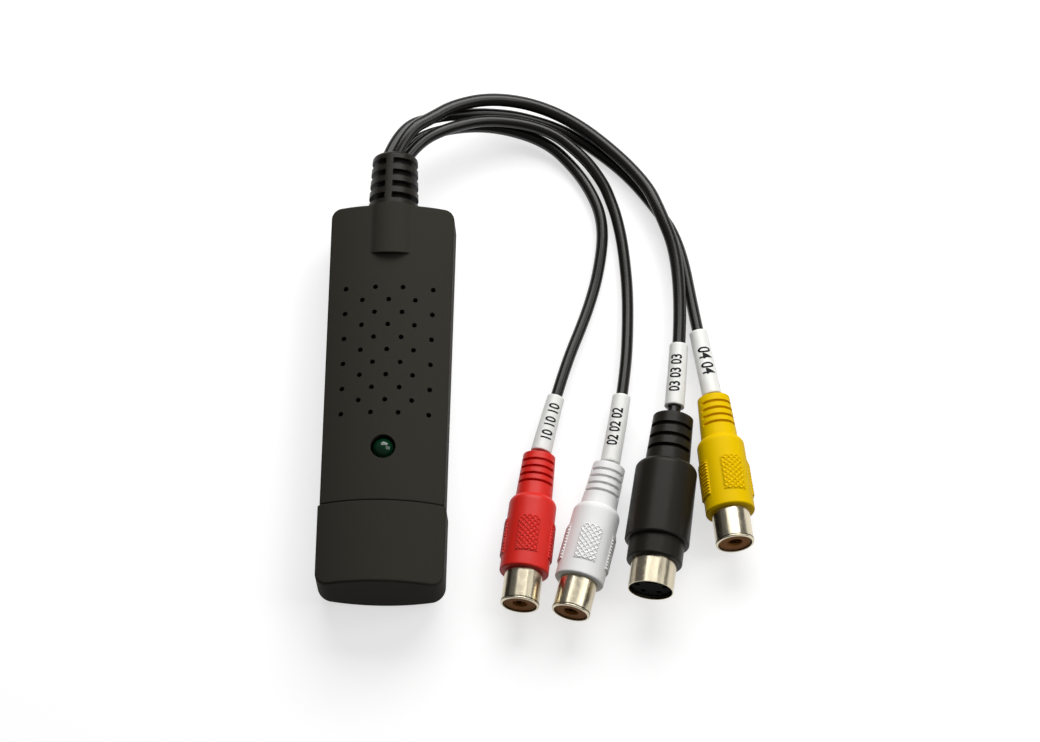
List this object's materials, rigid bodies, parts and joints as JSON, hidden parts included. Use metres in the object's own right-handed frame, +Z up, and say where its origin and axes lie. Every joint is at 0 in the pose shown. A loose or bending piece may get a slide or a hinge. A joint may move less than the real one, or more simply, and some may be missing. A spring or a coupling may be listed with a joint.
{
  "type": "video capture box",
  "caption": "Slim USB video capture box with a pull-off cap over its plug and a breakout cable with colour-coded phono jacks and an S-video jack.",
  "frame": {"origin": "on the table, under the middle of the box from the cap's front to the strain relief's tip, without the cords and jacks", "axes": "+Y from the USB plug to the cable, +X to the side on which the cords lie, +Z up, out of the vented top"},
  "size_m": [0.0949, 0.1232, 0.0181],
  "materials": {
    "case_plastic": "fine matte moulding",
    "shield_steel": "nickel-plated sheet",
    "tongue_plastic": "satin",
    "gold": "gold flash",
    "board_green": "solder mask",
    "chip_black": "matte",
    "can_metal": "satin",
    "light_green": "dark tinted, glossy",
    "tinned_lead": "tinned",
    "soft_black": "satin",
    "lead_grey": "satin",
    "cord_black": "satin",
    "soft_red": "satin",
    "soft_white": "satin",
    "soft_yellow": "satin",
    "sleeve_white": "satin",
    "nickel": "warm nickel plate",
    "insulator_brown": "satin",
    "insert_black": "satin"
  },
  "bodies": {
    "dongle": {"top_shell": "case_plastic", "bottom_shell": "case_plastic", "usb_shield": "shield_steel", "usb_tongue": "tongue_plastic", "usb_contacts": "gold", "circuit_board": "board_green", "video_decoder": "chip_black", "usb_bridge": "chip_black", "audio_codec": "chip_black", "crystal": "can_metal", "capacitors": "can_metal", "regulator": "chip_black", "status_led": "light_green", "led_leads": "tinned_lead", "strain_relief": "soft_black", "signal_leads": "lead_grey", "red_boot": "soft_red", "red_barrel": "nickel", "red_insulator": "insulator_brown", "red_contact": "gold", "cord_red": "cord_black", "sleeve_red": "sleeve_white", "white_boot": "soft_white", "white_barrel": "nickel", "white_insulator": "insulator_brown", "white_contact": "gold", "cord_white": "cord_black", "sleeve_white": "sleeve_white", "yellow_boot": "soft_yellow", "yellow_barrel": "nickel", "yellow_insulator": "insulator_brown", "yellow_contact": "gold", "cord_yellow": "cord_black", "sleeve_yellow": "sleeve_white", "svideo_boot": "soft_black", "svideo_shell": "nickel", "svideo_insert": "insert_black", "svideo_contacts": "gold", "cord_svideo": "cord_black", "sleeve_svideo": "sleeve_white"},
    "cap": {"cap": "case_plastic"}
  },
  "joints": [
    {"name": "cap_slide", "type": "slide", "parent": "dongle", "child": "cap", "axis": [0, -1, 0], "range_m": [0, 0.03]}
  ]
}
